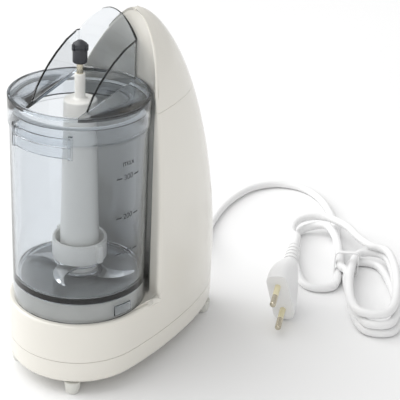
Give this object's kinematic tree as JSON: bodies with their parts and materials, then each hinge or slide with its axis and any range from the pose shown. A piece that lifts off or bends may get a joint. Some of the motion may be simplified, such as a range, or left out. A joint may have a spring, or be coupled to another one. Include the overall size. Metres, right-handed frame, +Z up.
{
  "type": "mini food processor",
  "caption": "Compact electric food chopper with an egg-shaped motor tower, a smoke-clear bowl, a twist-off lid with an open hood, a blade spindle and a tied mains lead.",
  "frame": {"origin": "middle of the body's box at the plane that its feet stand on, without the lead", "axes": "+Z up, -Y front with the bowl, +Y the motor tower, +X to the right seen from the front"},
  "size_m": [0.2056, 0.3287, 0.2138],
  "materials": {
    "cream_plastic": "smooth moulded, soft gloss",
    "white_plastic": "smooth moulded",
    "smoke_plastic": "clear, tinted smoke grey",
    "pale_rubber": "satin",
    "belt_rubber": "matte",
    "seal_rubber": "translucent, satin",
    "black_plastic": "fine grain",
    "steel": "zinc plated",
    "stainless": "ground and polished",
    "bronze": "sintered",
    "brass": "nickel plated",
    "white_flex": "soft vinyl, satin",
    "pin_sleeve": "smooth"
  },
  "bodies": {
    "root": {"main_housing": "cream_plastic", "tower_cap": "cream_plastic", "bottom_plate": "cream_plastic", "foot_front_left": "pale_rubber", "foot_front_right": "pale_rubber", "foot_rear_left": "pale_rubber", "foot_rear_right": "pale_rubber", "housing_screws": "steel", "lower_bush": "bronze", "upper_bush": "bronze", "motor_can": "steel", "motor_end_cap": "black_plastic", "motor_bracket": "steel", "motor_mounts": "belt_rubber", "drive_belt": "belt_rubber", "micro_switch": "black_plastic", "plunger_spring": "steel", "terminal_block": "white_plastic", "cord_bushing": "white_flex", "power_lead": "white_flex", "plug_lead": "white_flex", "cord_hank": "white_flex", "cord_tie": "white_flex", "plug_body": "white_flex", "plug_sleeves": "pin_sleeve", "plug_pins": "brass"},
    "drive": {"drive_shaft": "steel", "drive_coupling": "black_plastic", "driven_pulley": "black_plastic"},
    "motor_rotor": {"motor_shaft": "steel", "motor_pulley": "brass", "motor_fan": "black_plastic"},
    "bowl": {"bowl": "smoke_plastic"},
    "spindle": {"blade_holder": "white_plastic", "lower_blade": "stainless", "upper_blade": "stainless", "spindle_pin": "brass", "top_dog": "black_plastic"},
    "lid_seal": {"lid_seal": "seal_rubber"},
    "lid": {"lid": "smoke_plastic"},
    "plunger": {"interlock_plunger": "white_plastic"}
  },
  "joints": [
    {"name": "drive_spin", "type": "hinge", "parent": "root", "child": "drive", "pos_m": [0, -0.03425, 0.03], "axis": [0, 0, 1], "continuous": true},
    {"name": "motor_spin", "type": "hinge", "parent": "root", "child": "motor_rotor", "pos_m": [0, 0.03175, 0.03], "axis": [0, 0, 1], "continuous": true},
    {"name": "bowl_lift", "type": "slide", "parent": "root", "child": "bowl", "axis": [0, 0, 1], "range_m": [0, 0.06]},
    {"name": "blade_spin", "type": "hinge", "parent": "bowl", "child": "spindle", "pos_m": [0, -0.03425, 0.07], "axis": [0, 0, 1], "continuous": true},
    {"name": "lid_lift", "type": "slide", "parent": "bowl", "child": "lid_seal", "axis": [0, 0, 1], "range_m": [0, 0.06]},
    {"name": "lid_turn", "type": "hinge", "parent": "lid_seal", "child": "lid", "pos_m": [0, -0.03425, 0.16], "axis": [0, 0, 1], "range_deg": [-21.5, 0]},
    {"name": "plunger_press", "type": "slide", "parent": "root", "child": "plunger", "axis": [0, 1, 0], "range_m": [0, 0.00121]}
  ],
  "couplings": [
    {"joint": "motor_spin", "follows": "drive_spin", "ratio": 3.1429},
    {"joint": "blade_spin", "follows": "drive_spin", "ratio": 1},
    {"joint": "plunger_press", "follows": "lid_turn", "m_per_rad": -0.0031979}
  ]
}
